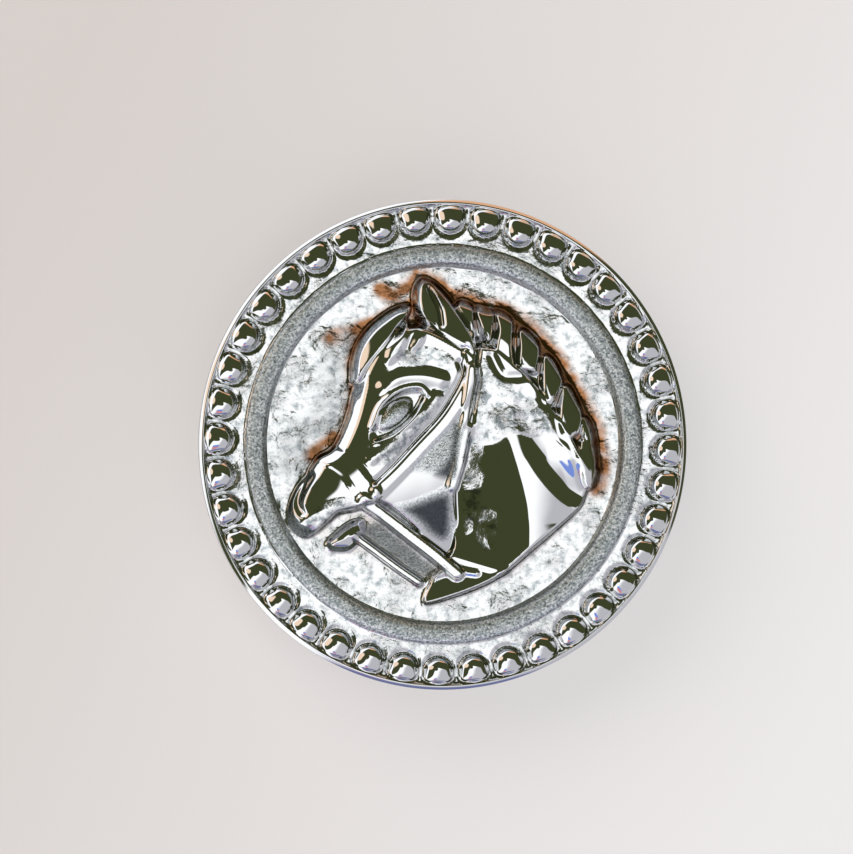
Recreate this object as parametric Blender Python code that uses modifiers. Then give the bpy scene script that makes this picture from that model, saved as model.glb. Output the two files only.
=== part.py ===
"""Bridle rosette: a cast and plated disc with a beaded border and a horse's head
in relief, and the flat strap loop that is brazed behind it.

Metres, +Z up. The carved face looks up, the horse's ear points to +Y and its
nose to -X. The origin is on the surface that the rosette lies on, under the
middle of the disc.
"""
import math

import bmesh
import bpy
import numpy as np

MM = 0.001

# The disc and the mouldings of its border, from the edge inwards
DISC_DIAMETER = 44.5 * MM
RIM_WIDTH = 0.45 * MM
BEAD_LENGTH = 2.6 * MM
BAND_WIDTH = 1.1 * MM
RING_WIDTH = 1.9 * MM

# Heights above the disc's back edge
RIM_HEIGHT = 2.5 * MM
BEAD_FLOOR = 1.9 * MM
BEAD_CREST = 3.1 * MM
BAND_HEIGHT = 2.2 * MM
RING_CREST = 2.9 * MM
FIELD_HEIGHT = 1.4 * MM
RELIEF_HEIGHT = 2.0 * MM

# The beads
BEAD_COUNT = 40
BEAD_FILL = 0.78
FIRST_GAP_ANGLE = math.radians(3.0)

# The strap that the loop takes, and the loop's flat strip
STRAP_WIDTH = 19.0 * MM
STRAP_PLAY = 3.0 * MM
STRAP_ROOM = 5.0 * MM
STRIP_WIDTH = 10.0 * MM
STRIP_THICKNESS = 1.8 * MM
BEND_RADIUS = 1.0 * MM
FOOT_LENGTH = 4.2 * MM
STRIP_EDGE = 0.25 * MM

# The shallow recess in the disc's back, which the loop's feet sit in
RECESS_DEPTH = 0.5 * MM
RECESS_MARGIN = 1.3 * MM
BRAZE_GAP = 0.3 * MM

# Fineness of the facets
COLUMNS_PER_BEAD = 8
BEND_STEPS = 4
CURVE_STEPS = 4
FACETS_KEPT = 0.42
MERGE_DISTANCE = 0.01 * MM

# Sizes that follow
DISC_RADIUS = DISC_DIAMETER / 2
BEAD_OUTER = DISC_RADIUS - RIM_WIDTH
BEAD_INNER = BEAD_OUTER - BEAD_LENGTH
RING_OUTER = BEAD_INNER - BAND_WIDTH
FIELD_RADIUS = RING_OUTER - RING_WIDTH
COLUMNS = BEAD_COUNT * COLUMNS_PER_BEAD
LOOP_HALF_WIDTH = (STRAP_WIDTH + STRAP_PLAY) / 2
LOOP_HEIGHT = STRAP_ROOM + STRIP_THICKNESS
FOOT_END = LOOP_HALF_WIDTH + STRIP_THICKNESS + FOOT_LENGTH
RECESS_RADIUS = math.hypot(FOOT_END, STRIP_WIDTH / 2) + RECESS_MARGIN
DISC_BASE = LOOP_HEIGHT + BRAZE_GAP - RECESS_DEPTH

# The horse's head, drawn in hundredths of the field's radius from its middle:
# the outlines of the raised masses
HEAD = [(10, 56), (-12, 67), (-27, 65), (-39, 56), (-47, 45), (-51, 33), (-53, 21), (-57, 9), (-63, -2),
        (-71, -7), (-77, -16), (-82, -23), (-86, -32), (-87, -41), (-84, -48), (-78, -52), (-71, -49),
        (-64, -43), (-59, -39), (-49, -37), (-36, -34), (-19, -46), (-6, -58), (6, -59), (8, -50), (7, -29),
        (8, -10), (11, 6), (14, 21), (17, 36), (18, 49)]
NECK = [(7, 52), (26, 56), (41, 46), (53, 34), (64, 19), (75, 2), (83, -17), (80, -32), (73, -40), (63, -49),
        (50, -60), (38, -70), (25, -78), (7, -85), (-11, -89), (-7, -76), (1, -64), (5, -54), (4, -25),
        (4, -3), (7, 21)]
CHIN = [(-67, -56), (-63, -60), (-53, -60), (-47, -55), (-43, -48), (-46, -41), (-53, -41), (-60, -45),
        (-65, -50)]
EAR = [(-12, 94), (-5, 91), (2, 84), (7, 77), (13, 68), (18, 58), (17, 50), (10, 52), (1, 57), (-8, 64),
       (-14, 70), (-17, 78), (-17, 87), (-15, 92)]
EYE_SOCKET = [(-42, 5), (-40, 14), (-35, 24), (-25, 31), (-15, 32), (-10, 28), (-12, 21), (-21, 11), (-31, 2),
              (-39, 0)]
FORELOCKS = [
    [(-19, 78), (-27, 77), (-35, 72), (-43, 65), (-49, 56), (-52, 46), (-52, 35), (-48, 35), (-43, 42),
     (-37, 49), (-31, 56), (-26, 64), (-21, 71)],
    [(-21, 70), (-20, 61), (-23, 52), (-28, 46), (-33, 44), (-35, 49), (-32, 56), (-27, 62)],
    [(-12, 65), (-11, 61), (-13, 55), (-18, 52), (-21, 53), (-19, 59), (-16, 63)],
]
MANE_BED = [(7, 77), (12, 82), (23, 78), (32, 77), (41, 72), (48, 66), (56, 58), (63, 50), (69, 41), (75, 31),
            (81, 20), (86, 10), (88, -1), (90, -13), (87, -25), (76, -17), (64, 6), (51, 27), (38, 39),
            (23, 52), (18, 56)]
MANE_LOCKS = [
    [(7, 77), (9, 81), (13, 82), (16, 78), (17, 70), (18, 56), (13, 65)],
    [(18, 77), (24, 78), (28, 75), (28, 67), (27, 58), (23, 56), (19, 65)],
    [(29, 76), (34, 75), (38, 71), (39, 64), (39, 53), (40, 45), (41, 38), (31, 36), (25, 45), (22, 53),
     (26, 56), (28, 65)],
    [(42, 64), (48, 65), (53, 61), (54, 52), (53, 43), (52, 39), (45, 40), (40, 45), (41, 56)],
    [(56, 50), (61, 50), (65, 45), (67, 35), (64, 27), (61, 21), (56, 23), (53, 31), (54, 42)],
    [(67, 33), (72, 33), (76, 26), (78, 17), (76, 6), (68, 1), (63, 9), (63, 19), (65, 27)],
    [(78, 15), (83, 15), (87, 7), (87, -3), (82, -1), (77, 5)],
    [(76, 3), (83, 1), (87, -4), (86, -13), (90, -15), (84, -25), (79, -23), (75, -12)],
]

# The edges that the masses rise from
FACE_EDGE = [(-18, 71), (-27, 66), (-39, 57), (-47, 45), (-51, 33), (-53, 21), (-57, 9), (-63, -2), (-71, -7),
             (-77, -16), (-82, -23), (-86, -32), (-87, -41), (-84, -48), (-78, -52)]
THROAT_EDGE = [(7, 33), (5, 12), (3, -10), (3, -32), (6, -54), (1, -64), (-7, -76), (-11, -89)]
FORELOCK_EDGE = [(-19, 78), (-27, 77), (-35, 72), (-43, 65), (-49, 56), (-52, 46), (-52, 35)]
MANE_EDGE = [(-12, 94), (-5, 91), (2, 84), (12, 82), (23, 78), (32, 77), (41, 72), (48, 66), (56, 58), (63, 50),
             (69, 41), (75, 31), (81, 20), (86, 10), (88, -1), (90, -13), (87, -25)]

# The middle lines of straps, ridges and creases
UPPER_LID = [(-41, 10), (-36, 22), (-26, 30), (-15, 32), (-11, 28)]
LOWER_LID = [(-39, 1), (-30, 5), (-19, 14), (-12, 25)]
BROW = [(-29, 35), (-19, 36), (-9, 34)]
CHEEKBONE = [(-42, -8), (-33, -2), (-21, 8), (-11, 19), (-5, 27)]
NOSEBAND = [(-68, -5), (-61, -8), (-53, -14), (-48, -21), (-42, -27)]
CHEEK_STRAP = [(14, 52), (15, 42), (10, 29), (0, 14), (-13, 0), (-26, -14), (-38, -26)]
STRAP_CREASE = [(8, 46), (9, 39), (3, 27), (-5, 15), (-19, 0), (-32, -14), (-40, -21)]
THROAT_LATCH = [(15, 42), (13, 24), (11, 6), (8, -10), (4, -23)]
UPPER_REIN = [(-46, -31), (-33, -40), (-19, -51), (-6, -61), (7, -72)]
LOWER_REIN = [(-50, -51), (-39, -59), (-27, -68), (-14, -77)]
NOSTRIL = [(-76, -17), (-80, -25), (-82, -32), (-80, -38)]
MOUTH = [(-68, -54), (-61, -48), (-53, -42), (-48, -40)]
EAR_FOLD = [(-12, 91), (-9, 84), (-7, 76), (-8, 68)]
CROWN_CREASE = [(18, 59), (18, 47), (18, 36), (16, 25), (14, 12)]
CREST_HOLLOW = [(40, 14), (48, -1), (59, -17), (68, -27), (79, -32)]
COLLAR_STRIP = [(4, -62), (17, -66), (34, -71)]
COLLAR_RIM = [(-10, -88), (7, -83), (23, -77), (37, -70)]
COLLAR_TOP = [(-10, -78), (-5, -73), (7, -71), (18, -72)]
EYE_CENTRE = (-29, 17)
EYE_TILT = math.radians(37)
BIT_BOSS = (-40, -28)


def smooth_line(points, closed=False):
    """A Catmull-Rom curve through the points."""
    points = np.array(points, dtype=float)
    if closed:
        before, after = points[[-1]], points[:2]
    else:
        before, after = points[[0]], points[[-1]]
    padded = np.concatenate([before, points, after])
    share = (np.arange(CURVE_STEPS) / CURVE_STEPS)[:, None]
    pieces = []
    for a, b, c, d in zip(padded, padded[1:], padded[2:], padded[3:]):
        bend = (c - a) * share + (2 * a - 5 * b + 4 * c - d) * share ** 2
        pieces.append(b + 0.5 * (bend + (3 * b - a - 3 * c + d) * share ** 3))
    pieces.append(padded[-2:-1])
    return np.concatenate(pieces)


def line_distance(x, y, line, reach):
    """The distance of each point to the line, where it is less than the reach."""
    low = line.min(axis=0) - reach
    high = line.max(axis=0) + reach
    near = (x > low[0]) & (x < high[0]) & (y > low[1]) & (y < high[1])
    near_x, near_y = x[near], y[near]
    best = np.full(near_x.shape, float(reach))
    for (ax, ay), (bx, by) in zip(line, line[1:]):
        run, rise = bx - ax, by - ay
        share = ((near_x - ax) * run + (near_y - ay) * rise) / max(run * run + rise * rise, 1e-12)
        share = np.clip(share, 0, 1)
        best = np.minimum(best, np.hypot(near_x - ax - share * run, near_y - ay - share * rise))
    distance = np.full(x.shape, float(reach))
    distance[near] = best
    return distance


def is_inside(x, y, outline):
    """True for the points inside a closed outline, by counting crossings."""
    odd = np.zeros(x.shape, dtype=bool)
    for (ax, ay), (bx, by) in zip(outline, np.roll(outline, -1, axis=0)):
        if ay != by:
            crosses = (ay > y) != (by > y)
            odd ^= crosses & (x < (bx - ax) * (y - ay) / (by - ay) + ax)
    return odd


def rise(distance, width):
    """A rounded shoulder: 0 at the edge, 1 from the width inwards."""
    return np.sin(math.pi / 2 * np.clip(distance / width, 0, 1))


def rounded_inside(x, y, points, width):
    """A shoulder that rises from a closed outline inwards, 0 outside it."""
    outline = smooth_line(points, closed=True)
    return rise(line_distance(x, y, outline, width), width) * is_inside(x, y, outline)


def edge_rise(x, y, points, width):
    """A shoulder that rises away from an open edge, on both its sides."""
    return rise(line_distance(x, y, smooth_line(points), width), width)


def soft_ridge(x, y, points, half_width):
    """A smooth swelling along a line, 1 on the line and 0 from its half width on."""
    share = line_distance(x, y, smooth_line(points), half_width) / half_width
    return (1 - share ** 2) ** 2


def strap_band(x, y, points, half_width):
    """A flat band with rounded edges along a line: 1 on the band, 0 beside it."""
    distance = line_distance(x, y, smooth_line(points), half_width)
    return rise(half_width - distance, 0.6 * half_width)


def lay_on(relief, form, where):
    """Put a form over the relief wherever it stands higher."""
    return np.where(where, np.maximum(relief, form), relief)


def carve_neck(x, y, relief):
    """The arched neck, with the hollow below the mane and its cut-off base."""
    edge = rounded_inside(x, y, NECK, 5.6)
    neck = np.minimum(0.18 + 0.72 * edge_rise(x, y, THROAT_EDGE, 38), 1.15 * edge)
    neck -= 0.25 * soft_ridge(x, y, CREST_HOLLOW, 8)
    relief = lay_on(relief, neck, edge > 0)
    relief = relief + 0.22 * soft_ridge(x, y, COLLAR_STRIP, 3)
    relief = relief + 0.15 * soft_ridge(x, y, COLLAR_RIM, 2.5)
    return relief + 0.15 * soft_ridge(x, y, COLLAR_TOP, 2.2)


def carve_head(x, y, relief):
    """The skull and muzzle: a quick rise at the face's edge, then a slow one."""
    edge = rounded_inside(x, y, HEAD, 5)
    face = 0.38 * edge_rise(x, y, FACE_EDGE, 3.4) + 0.57 * edge_rise(x, y, FACE_EDGE, 26)
    below_jowl = np.clip(0.35 * (x + 8) - 0.94 * (y + 5), 0, None)
    face -= 0.00022 * below_jowl ** 2
    relief = lay_on(relief, np.minimum(face, 1.2 * edge), edge > 0)
    relief = lay_on(relief, 0.58 * rounded_inside(x, y, CHIN, 7), edge == 0)
    relief = relief - 0.35 * soft_ridge(x, y, NOSTRIL, 3.4)
    return relief - 0.3 * soft_ridge(x, y, MOUTH, 3)


def carve_eye(x, y, relief):
    """The eye in its socket, between the brow and the cheekbone."""
    relief = relief - 0.2 * rounded_inside(x, y, EYE_SOCKET, 4)
    across, up = x - EYE_CENTRE[0], y - EYE_CENTRE[1]
    along = (across * math.cos(EYE_TILT) + up * math.sin(EYE_TILT)) / 11.8
    off = (up * math.cos(EYE_TILT) - across * math.sin(EYE_TILT)) / 6.5
    relief = relief + 0.3 * np.sqrt(np.clip(1 - along ** 2 - off ** 2, 0, 1))
    relief = relief + 0.2 * soft_ridge(x, y, UPPER_LID, 2.6)
    relief = relief + 0.15 * soft_ridge(x, y, LOWER_LID, 2.4)
    relief = relief + 0.15 * soft_ridge(x, y, BROW, 5.5)
    return relief + 0.17 * soft_ridge(x, y, CHEEKBONE, 5)


def carve_bridle(x, y, relief):
    """The noseband, cheek strap, throat latch, the bit's boss and the reins."""
    on_head = is_inside(x, y, smooth_line(HEAD, closed=True))
    relief = relief + 0.13 * strap_band(x, y, NOSEBAND, 6.5) * on_head
    relief = relief - 0.22 * soft_ridge(x, y, STRAP_CREASE, 3)
    for line, half_width, bed in (
        (CHEEK_STRAP, 4.2, 0.86),
        (THROAT_LATCH, 3.7, 0.84),
        (UPPER_REIN, 4.2, 0.62),
        (LOWER_REIN, 2.5, 0.25),
    ):
        band = strap_band(x, y, line, half_width)
        relief = np.maximum(relief, bed * band) + 0.13 * band
    boss = rise(4.6 - np.hypot(x - BIT_BOSS[0], y - BIT_BOSS[1]), 4.6)
    return np.maximum(relief, boss)


def carve_mane(x, y, relief):
    """The plaited mane: locks that stand on a lower bed along the crest."""
    bed = rounded_inside(x, y, MANE_BED, 3.8)
    relief = lay_on(relief, 0.4 * bed, bed > 0)
    crest = 0.45 * edge_rise(x, y, MANE_EDGE, 2.5) + 0.5 * edge_rise(x, y, MANE_EDGE, 25)
    for outline in MANE_LOCKS:
        lock = rounded_inside(x, y, outline, 4.4)
        relief = lay_on(relief, np.minimum(crest, 0.25 + 0.85 * lock), lock > 0)
    return relief - 0.2 * soft_ridge(x, y, CROWN_CREASE, 2)


def carve_ear_and_forelock(x, y, relief):
    """The pricked ear with its fold, and the locks that fall over the forehead."""
    rim = rounded_inside(x, y, EAR, 3)
    ear = 0.45 * rim + 0.6 * rounded_inside(x, y, EAR, 12) - 0.27 * soft_ridge(x, y, EAR_FOLD, 3.4)
    relief = lay_on(relief, ear, rim > 0)
    fall = 0.12 + 0.45 * edge_rise(x, y, FORELOCK_EDGE, 2.5) + 0.5 * edge_rise(x, y, FORELOCK_EDGE, 16)
    for outline in FORELOCKS:
        lock = rounded_inside(x, y, outline, 5)
        relief = lay_on(relief, np.minimum(fall, 0.3 + 0.85 * lock), lock > 0)
    return relief


def horse_relief(x, y):
    """The carving's height above the field, for places on the field in metres."""
    x = x / FIELD_RADIUS * 100
    y = y / FIELD_RADIUS * 100
    relief = np.zeros(x.shape)
    for carve in (carve_neck, carve_head, carve_eye, carve_bridle, carve_mane, carve_ear_and_forelock):
        relief = carve(x, y, relief)
    return RELIEF_HEIGHT * np.clip(relief, 0, 1.2)


def bead_shape(radius, angle):
    """One tongue-shaped bead for each pitch: square outside and round inside."""
    pitch = 2 * math.pi / BEAD_COUNT
    across = ((angle - FIRST_GAP_ANGLE) / pitch) % 1.0 * 2 - 1
    across = np.abs(across) / BEAD_FILL
    middle = BEAD_OUTER - BEAD_LENGTH / 2
    along = (middle - radius) / (BEAD_LENGTH / 2)
    inner = np.clip(along, 0, None) ** 2
    outer = np.clip(-along, 0, None) ** 6
    return np.sqrt(np.clip(1 - across ** 2 - inner - outer, 0, 1))


def border_height(radius, angle):
    """The height of the border's mouldings above the disc's back edge."""
    height = np.full(radius.shape, BAND_HEIGHT)
    on_ring = (RING_OUTER - radius) / RING_WIDTH
    on_ring = np.clip(on_ring, 0, 1)
    foot = BAND_HEIGHT + (FIELD_HEIGHT - BAND_HEIGHT) * on_ring
    arch = np.sqrt(np.clip(1 - (2 * on_ring - 1) ** 2, 0, 1))
    middle_foot = (BAND_HEIGHT + FIELD_HEIGHT) / 2
    height = np.where(radius < RING_OUTER, foot + (RING_CREST - middle_foot) * arch, height)
    beads = BEAD_FLOOR + (BEAD_CREST - BEAD_FLOOR) * bead_shape(radius, angle)
    height = np.where((radius > BEAD_INNER) & (radius < BEAD_OUTER), beads, height)
    return np.where(radius >= BEAD_OUTER, RIM_HEIGHT, height)


def border_radii():
    """Where the turned blank has its rows, from the rim to the field."""
    bead_rows = [BEAD_OUTER - share * BEAD_LENGTH for share in (0.08, 0.35, 0.65, 0.88)]
    ring_rows = [RING_OUTER - share * RING_WIDTH for share in (0.0, 0.15, 0.5, 0.85)]
    return [BEAD_OUTER] + bead_rows + [BEAD_INNER] + ring_rows + [FIELD_RADIUS]


def turned_blank():
    """The disc's back, side and border as a profile turned about the axis."""
    profile = [
        (0, RECESS_DEPTH),
        (RECESS_RADIUS, RECESS_DEPTH),
        (RECESS_RADIUS, 0),
        (DISC_RADIUS, 0),
        (DISC_RADIUS, RIM_HEIGHT - RIM_WIDTH / 2),
    ]
    profile += [(radius, RIM_HEIGHT) for radius in border_radii()]
    blank = bmesh.new()
    start = (math.cos(FIRST_GAP_ANGLE), math.sin(FIRST_GAP_ANGLE))
    points = [blank.verts.new((r * start[0], r * start[1], z)) for r, z in profile]
    edges = [blank.edges.new(pair) for pair in zip(points, points[1:])]
    bmesh.ops.spin(
        blank,
        geom=points + edges,
        cent=(0, 0, 0),
        axis=(0, 0, 1),
        angle=2 * math.pi,
        steps=COLUMNS,
        use_merge=True,
    )
    return blank


def add_field(blank):
    """A square grid drawn out to the field's circle, ring of squares to ring."""
    grid = bmesh.ops.create_grid(blank, x_segments=COLUMNS // 4, y_segments=COLUMNS // 4, size=1.0)
    for vert in grid["verts"]:
        across, up = vert.co.x, vert.co.y
        ring = max(abs(across), abs(up))
        if ring == 0:
            continue
        if abs(across) >= abs(up):
            angle = math.pi / 4 * up / across + (math.pi if across < 0 else 0)
        else:
            angle = math.pi / 2 - math.pi / 4 * across / up + (math.pi if up < 0 else 0)
        angle += FIRST_GAP_ANGLE
        radius = ring * FIELD_RADIUS
        vert.co = (radius * math.cos(angle), radius * math.sin(angle), RIM_HEIGHT)


def carve_face(mesh):
    """Bring every vertex of the blank's top to the face's height."""
    places = np.empty(len(mesh.vertices) * 3)
    mesh.vertices.foreach_get("co", places)
    places = places.reshape(-1, 3)
    top = places[:, 2] > RIM_HEIGHT - RIM_WIDTH / 4
    x, y = places[top, 0], places[top, 1]
    radius = np.hypot(x, y)
    in_field = radius < FIELD_RADIUS - MERGE_DISTANCE
    height = border_height(radius, np.arctan2(y, x))
    places[top, 2] = np.where(in_field, FIELD_HEIGHT + horse_relief(x, y), height)
    mesh.vertices.foreach_set("co", places.ravel())
    return [int(index) for index in np.flatnonzero(top & (np.hypot(places[:, 0], places[:, 1]) < BEAD_OUTER))]


def strip_path():
    """The loop's inner face from the end of one foot to the end of the other."""
    outer_bend = BEND_RADIUS + STRIP_THICKNESS
    path = [(-FOOT_END, LOOP_HEIGHT)]
    for step in range(BEND_STEPS + 1):
        turn = math.pi / 2 * step / BEND_STEPS
        x = -LOOP_HALF_WIDTH - outer_bend + outer_bend * math.sin(turn)
        path.append((x, LOOP_HEIGHT - outer_bend + outer_bend * math.cos(turn)))
    for step in range(BEND_STEPS + 1):
        turn = math.pi / 2 * step / BEND_STEPS
        x = -LOOP_HALF_WIDTH + BEND_RADIUS - BEND_RADIUS * math.cos(turn)
        path.append((x, STRIP_THICKNESS + BEND_RADIUS - BEND_RADIUS * math.sin(turn)))
    return path + [(-x, z) for x, z in reversed(path)]


def plated_material(name, colour, roughness):
    material = bpy.data.materials.new(name)
    material.use_nodes = True
    shader = material.node_tree.nodes["Principled BSDF"]
    shader.inputs["Base Color"].default_value = (*colour, 1.0)
    shader.inputs["Metallic"].default_value = 1.0
    shader.inputs["Roughness"].default_value = roughness
    return material


def add_object(name, mesh, collection, material, parent):
    """An object of this name in the collection, shaded smooth up to 40 degrees."""
    obj = bpy.data.objects.new(name, mesh)
    collection.objects.link(obj)
    mesh.materials.append(material)
    mesh.shade_smooth()
    mesh.set_sharp_from_angle(angle=math.radians(40))
    obj.parent = parent
    return obj


def make_rosette(collection, parent):
    """The casting: a turned blank with its face carved."""
    blank = turned_blank()
    add_field(blank)
    bmesh.ops.remove_doubles(blank, verts=blank.verts, dist=MERGE_DISTANCE)
    bmesh.ops.recalc_face_normals(blank, faces=blank.faces)
    mesh = bpy.data.meshes.new("rosette")
    blank.to_mesh(mesh)
    blank.free()
    carved = carve_face(mesh)
    material = plated_material("chrome_plate", (0.78, 0.78, 0.77), 0.08)
    rosette = add_object("rosette", mesh, collection, material, parent)
    rosette.location.z = DISC_BASE
    rosette.vertex_groups.new(name="carved face").add(carved, 1.0, "REPLACE")
    decimate = rosette.modifiers.new("fewer facets", "DECIMATE")
    decimate.ratio = FACETS_KEPT
    decimate.vertex_group = "carved face"
    return rosette


def make_strap_loop(collection, parent):
    """A flat strip bent to a hat shape, with its two feet turned outwards."""
    strip = bmesh.new()
    front = [strip.verts.new((x, -STRIP_WIDTH / 2, z)) for x, z in strip_path()]
    edges = [strip.edges.new(pair) for pair in zip(front, front[1:])]
    swept = bmesh.ops.extrude_edge_only(strip, edges=edges)
    moved = [item for item in swept["geom"] if isinstance(item, bmesh.types.BMVert)]
    bmesh.ops.translate(strip, verts=moved, vec=(0, STRIP_WIDTH, 0))
    mesh = bpy.data.meshes.new("strap_loop")
    strip.to_mesh(mesh)
    strip.free()
    material = plated_material("plated_strip", (0.70, 0.70, 0.69), 0.22)
    loop = add_object("strap_loop", mesh, collection, material, parent)
    solidify = loop.modifiers.new("thickness", "SOLIDIFY")
    solidify.thickness = STRIP_THICKNESS
    solidify.offset = 1.0
    solidify.use_even_offset = True
    bevel = loop.modifiers.new("worn edges", "BEVEL")
    bevel.width = STRIP_EDGE
    bevel.segments = 1
    bevel.limit_method = "ANGLE"
    bevel.angle_limit = math.radians(60)
    return loop


def main():
    for obj in list(bpy.data.objects):
        bpy.data.objects.remove(obj, do_unlink=True)
    parts = bpy.data.collections.new("bridle_rosette")
    bpy.context.scene.collection.children.link(parts)
    middle = bpy.data.objects.new("middle_of_disc", None)
    middle.empty_display_size = DISC_RADIUS
    parts.objects.link(middle)
    make_rosette(parts, middle)
    make_strap_loop(parts, middle)


main()
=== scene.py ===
# %% [markdown]
# # A bridle rosette in chromium plate
# A rosette is the round ornament at the end of a bridle's browband. This one is a single casting:
# a disc with a beaded border, a plain ring inside it and a horse's head in low relief. It was cast,
# brightened on its high places and plated. A flat strip, bent to a loop for the strap, is brazed
# behind it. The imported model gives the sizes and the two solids. This lesson lays a finer surface
# over the casting, gives the metal its finish and lights it as the photograph is lit.

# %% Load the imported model
import math

import bpy
import numpy as np
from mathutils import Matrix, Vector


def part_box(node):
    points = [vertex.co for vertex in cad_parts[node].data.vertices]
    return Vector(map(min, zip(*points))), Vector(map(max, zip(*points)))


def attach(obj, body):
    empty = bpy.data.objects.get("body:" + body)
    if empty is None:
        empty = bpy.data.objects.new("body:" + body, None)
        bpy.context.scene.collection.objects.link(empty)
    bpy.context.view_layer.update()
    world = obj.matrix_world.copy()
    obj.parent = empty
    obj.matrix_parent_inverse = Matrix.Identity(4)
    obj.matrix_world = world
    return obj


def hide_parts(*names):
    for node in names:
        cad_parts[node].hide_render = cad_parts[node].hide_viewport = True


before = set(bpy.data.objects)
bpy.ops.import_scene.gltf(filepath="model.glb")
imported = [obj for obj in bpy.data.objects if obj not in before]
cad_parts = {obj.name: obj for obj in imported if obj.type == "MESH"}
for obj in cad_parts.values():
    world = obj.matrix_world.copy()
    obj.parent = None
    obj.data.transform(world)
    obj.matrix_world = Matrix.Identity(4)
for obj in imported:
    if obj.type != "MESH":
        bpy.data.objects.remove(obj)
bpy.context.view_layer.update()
MM = 0.001

# %% [markdown]
# ## Nodes and colours
# Every finish below is a small graph of nodes. One function adds a node, sets it and fills its
# sockets, so a finish reads as a list of what it is made of. Colours are written as the eye sees
# them on a screen and turned to linear light in one place. A pattern is given by the size of its
# grains in millimetres.

# %% Two helpers for every finish
def put(tree, kind, inputs=None, **settings):
    """Add a node, set its properties, and give its sockets values or links."""
    made = tree.nodes.new(kind)
    for name, value in settings.items():
        setattr(made, name, value)
    for socket, value in (inputs or {}).items():
        if isinstance(value, bpy.types.NodeSocket):
            tree.links.new(value, made.inputs[socket])
        else:
            made.inputs[socket].default_value = value
    return made


def linear(code):
    """An sRGB hex colour as linear red, green, blue and alpha."""
    shown = np.array([int(code[place:place + 2], 16) for place in (0, 2, 4)]) / 255
    light = np.where(shown <= 0.04045, shown / 12.92, ((shown + 0.055) / 1.055) ** 2.4)
    return (*light.tolist(), 1.0)


def grains(size_mm):
    """The scale of a noise whose grains measure this many millimetres."""
    return 1 / (size_mm * MM)


print("mid grey in linear light:", round(linear("808080")[0], 3))

# %% [markdown]
# ## Camera, floor and light
# The rosette lies on a pale table and is seen from almost straight above, a few degrees from the
# left. Polished chromium shows nothing but its surroundings, so the light matters as much as the
# metal. Overhead is a bright ceiling with one small green patch in it. A dark green wall stands behind
# and reaches round to both sides, with warm wood low down in it. On the left are a tan patch higher up
# and a bright sill low down. To the right is a pale wall, and in front lie cool shade and two small
# spots of coloured light. Soft zones of a world give all of this without a single hard lamp.

# %% The camera
SEEN_WIDTH = 77.5 * MM
CAMERA_REACH = 350 * MM
CAMERA_LEAN = math.radians(-6)
AIM = (-1.6 * MM, 1.6 * MM, 8.5 * MM)

photo_camera = bpy.data.objects.new("photo_camera", bpy.data.cameras.new("photo_camera"))
photo_camera.data.lens = photo_camera.data.sensor_width * CAMERA_REACH / SEEN_WIDTH
photo_camera.location = (
    AIM[0] + CAMERA_REACH * math.sin(CAMERA_LEAN),
    AIM[1],
    AIM[2] + CAMERA_REACH * math.cos(CAMERA_LEAN),
)
photo_camera.rotation_euler = (0, CAMERA_LEAN, 0)
bpy.context.collection.objects.link(photo_camera)
bpy.context.scene.camera = photo_camera
bpy.context.scene.view_settings.view_transform = "Standard"
print("lens, mm:", round(photo_camera.data.lens, 1))

# %% The floor, whose glow is painted light
FLOOR_REACH = 1.5
GLOW_TOWARD = (1.0, -0.5, 0.0)
GLOW_REACH = 50 * MM
GLOW_STRENGTH = 0.62

corners = [(-1, -1), (1, -1), (1, 1), (-1, 1)]
floor_mesh = bpy.data.meshes.new("floor")
floor_mesh.from_pydata([(FLOOR_REACH * x, FLOOR_REACH * y, 0) for x, y in corners], [], [(0, 1, 2, 3)])
floor = bpy.data.objects.new("floor", floor_mesh)
bpy.context.collection.objects.link(floor)
matt_table = bpy.data.materials.new("matt_table")
matt_table.use_nodes = True
table_tree = matt_table.node_tree
table_shader = table_tree.nodes["Principled BSDF"]
table_shader.inputs["Base Color"].default_value = linear("A39F9D")
table_shader.inputs["Roughness"].default_value = 0.7
table_place = put(table_tree, "ShaderNodeTexCoord").outputs["Object"]
# The floor's emission is painted light: it glows though it is no lamp, brighter towards the lower right, and
# lifts the shade round the rosette.
toward_painted_light = put(
    table_tree, "ShaderNodeVectorMath", {0: table_place, 1: GLOW_TOWARD}, operation="DOT_PRODUCT"
).outputs["Value"]
painted_light_share = put(
    table_tree, "ShaderNodeMapRange", {"Value": toward_painted_light, "From Min": -GLOW_REACH, "From Max": GLOW_REACH}
).outputs[0]
painted_floor_light = put(
    table_tree, "ShaderNodeMix", {0: painted_light_share, 6: linear("C3BCB8"), 7: linear("EDEDEF")}, data_type="RGBA"
).outputs[2]
table_tree.links.new(painted_floor_light, table_shader.inputs["Emission Color"])
table_shader.inputs["Emission Strength"].default_value = GLOW_STRENGTH
floor_mesh.materials.append(matt_table)
print("floor, m:", 2 * FLOOR_REACH, "square")

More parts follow.
